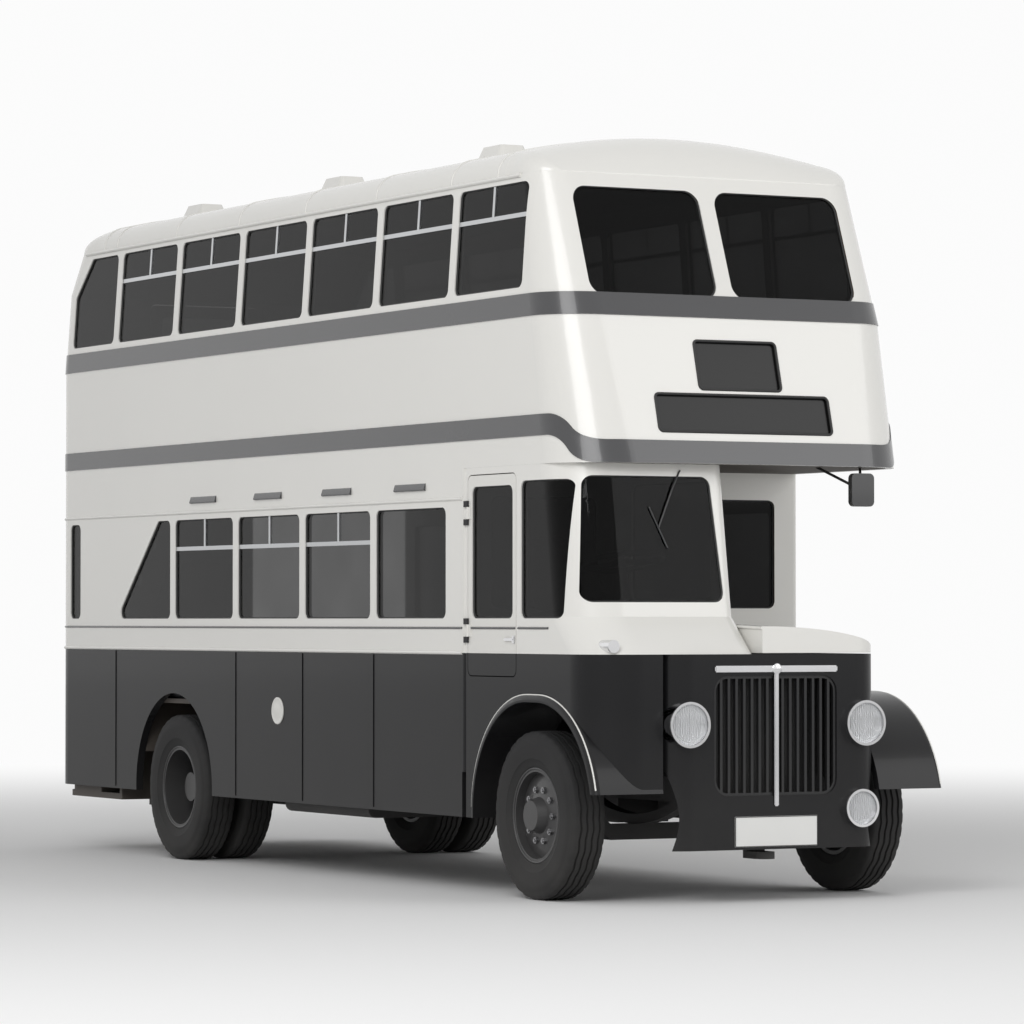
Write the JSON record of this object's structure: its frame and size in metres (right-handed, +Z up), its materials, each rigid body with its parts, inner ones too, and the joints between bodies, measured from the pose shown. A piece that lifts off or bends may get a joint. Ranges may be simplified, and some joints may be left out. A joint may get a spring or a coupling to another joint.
{
  "type": "double decker bus",
  "caption": "Half-cab double decker bus with a front engine, concealed radiator, open rear platform, inside staircase, seated saloons on both decks, steered front wheels and twin rear wheels.",
  "frame": {"origin": "on the road, under the middle of the bus's length and width", "axes": "+X forward, +Y to the nearside (left), +Z up"},
  "size_m": [7.925, 2.286, 4.428],
  "materials": {
    "ivory_paint": "gloss",
    "black_paint": "gloss",
    "charcoal_paint": "gloss",
    "chassis_black": "matt",
    "bright_metal": "polished",
    "grey_metal": "satin",
    "glass": "clear",
    "lamp_glass": "clear",
    "blind": "matt",
    "tyre": "matt",
    "wheel_black": "satin",
    "slatted_wood": "satin",
    "cushion_cloth": "woven",
    "driver_leather": "satin",
    "black_plastic": "gloss"
  },
  "bodies": {
    "body": {"chassis_frame": "chassis_black", "tow_eyes": "chassis_black", "front_axle_beam": "chassis_black", "rear_axle": "chassis_black", "leaf_springs": "chassis_black", "engine": "chassis_black", "gearbox_and_shaft": "chassis_black", "radiator": "grey_metal", "fuel_tank": "chassis_black", "exhaust": "grey_metal", "lower_floor": "slatted_wood", "upper_floor": "slatted_wood", "staircase": "slatted_wood", "lower_panels": "black_paint", "offside_frame": "ivory_paint", "nearside_frame": "ivory_paint", "rear_frame": "ivory_paint", "upper_front": "ivory_paint", "blind_boxes": "blind", "window_glass": "glass", "vent_frames": "grey_metal", "mouldings": "charcoal_paint", "front_dome": "ivory_paint", "rear_dome": "ivory_paint", "roof_panel": "ivory_paint", "roof_vents": "ivory_paint", "bulkhead": "ivory_paint", "cab_shell": "ivory_paint", "cab_lower": "black_paint", "cab_floor": "chassis_black", "driver_seat": "driver_leather", "steering_wheel": "black_plastic", "front_panel": "black_paint", "grille": "black_paint", "bright_trim": "bright_metal", "bonnet_side": "black_paint", "front_wings": "black_paint", "lamps": "bright_metal", "lamp_lenses": "lamp_glass", "mirror": "black_plastic", "hinge_leaves": "chassis_black", "handrails": "bright_metal", "seat_frames": "grey_metal", "seat_cushions": "cushion_cloth"},
    "cab_door_leaf": {"cab_door": "ivory_paint", "cab_door_glass": "glass"},
    "emergency_door_leaf": {"emergency_door": "ivory_paint", "emergency_glass": "glass"},
    "bonnet_lid_leaf": {"bonnet_lid": "ivory_paint"},
    "offside_knuckle": {"knuckle_offside": "chassis_black"},
    "nearside_knuckle": {"knuckle_nearside": "chassis_black"},
    "offside_front_wheel": {"front_wheel_offside": "wheel_black", "front_tyre_offside": "tyre"},
    "nearside_front_wheel": {"front_wheel_nearside": "wheel_black", "front_tyre_nearside": "tyre"},
    "offside_rear_wheels": {"rear_wheel_offside": "wheel_black", "rear_tyres_offside": "tyre"},
    "nearside_rear_wheels": {"rear_wheel_nearside": "wheel_black", "rear_tyres_nearside": "tyre"}
  },
  "joints": [
    {"name": "steer_offside", "type": "hinge", "parent": "body", "child": "offside_knuckle", "pos_m": [3.0825, -0.8, 0.4775], "axis": [0, 0, 1], "range_deg": [-32, 32]},
    {"name": "steer_nearside", "type": "hinge", "parent": "body", "child": "nearside_knuckle", "pos_m": [3.0825, 0.8, 0.4775], "axis": [0, 0, 1], "range_deg": [-32, 32]},
    {"name": "spin_front_offside", "type": "hinge", "parent": "offside_knuckle", "child": "offside_front_wheel", "pos_m": [3.0825, -0.985, 0.4775], "axis": [0, 1, 0], "continuous": true},
    {"name": "spin_front_nearside", "type": "hinge", "parent": "nearside_knuckle", "child": "nearside_front_wheel", "pos_m": [3.0825, 0.985, 0.4775], "axis": [0, 1, 0], "continuous": true},
    {"name": "spin_rear_offside", "type": "hinge", "parent": "body", "child": "offside_rear_wheels", "pos_m": [-1.8705, -0.853, 0.4775], "axis": [0, 1, 0], "continuous": true},
    {"name": "spin_rear_nearside", "type": "hinge", "parent": "body", "child": "nearside_rear_wheels", "pos_m": [-1.8705, 0.853, 0.4775], "axis": [0, 1, 0], "continuous": true},
    {"name": "cab_door_hinge", "type": "hinge", "parent": "body", "child": "cab_door_leaf", "pos_m": [2.3615, -1.1353, 1.75], "axis": [0, 0, -1], "range_deg": [0, 80]},
    {"name": "emergency_door_hinge", "type": "hinge", "parent": "body", "child": "emergency_door_leaf", "pos_m": [-3.9505, -0.414, 3.3], "axis": [0, 0, 1], "range_deg": [0, 90]},
    {"name": "bonnet_lid_hinge", "type": "hinge", "parent": "body", "child": "bonnet_lid_leaf", "pos_m": [2.3365, -0.084, 1.576], "axis": [0.9997, 0, -0.0253], "range_deg": [0, 55]}
  ],
  "couplings": [
    {"joint": "steer_nearside", "follows": "steer_offside", "ratio": 1}
  ]
}
